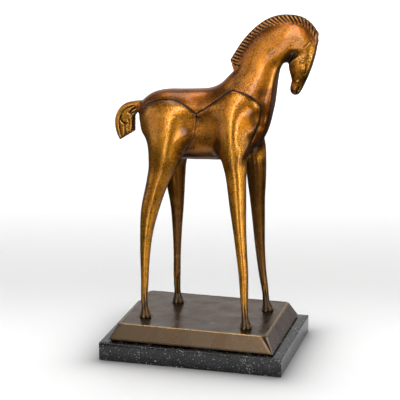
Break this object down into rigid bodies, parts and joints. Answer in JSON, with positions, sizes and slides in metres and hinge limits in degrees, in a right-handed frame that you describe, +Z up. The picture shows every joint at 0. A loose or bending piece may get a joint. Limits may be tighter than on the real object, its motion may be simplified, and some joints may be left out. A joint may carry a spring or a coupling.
{
  "type": "horse statue on a plinth",
  "caption": "Long-legged bronze foal with a bowed head and a notched mane, standing on a bevelled bronze base and a black marble plinth.",
  "frame": {"origin": "centre of the marble plinth's underside", "axes": "+X the way the horse faces, along the plinth's long side, +Y to the horse's left, +Z up"},
  "size_m": [0.2197, 0.146, 0.3703],
  "materials": {
    "black_marble": "polished",
    "dark_bronze": "satin dark brown patina",
    "golden_bronze": "satin golden brown patina"
  },
  "bodies": {
    "root": {"marble_plinth": "black_marble", "bronze_base": "dark_bronze", "horse": "golden_bronze"}
  },
  "joints": []
}
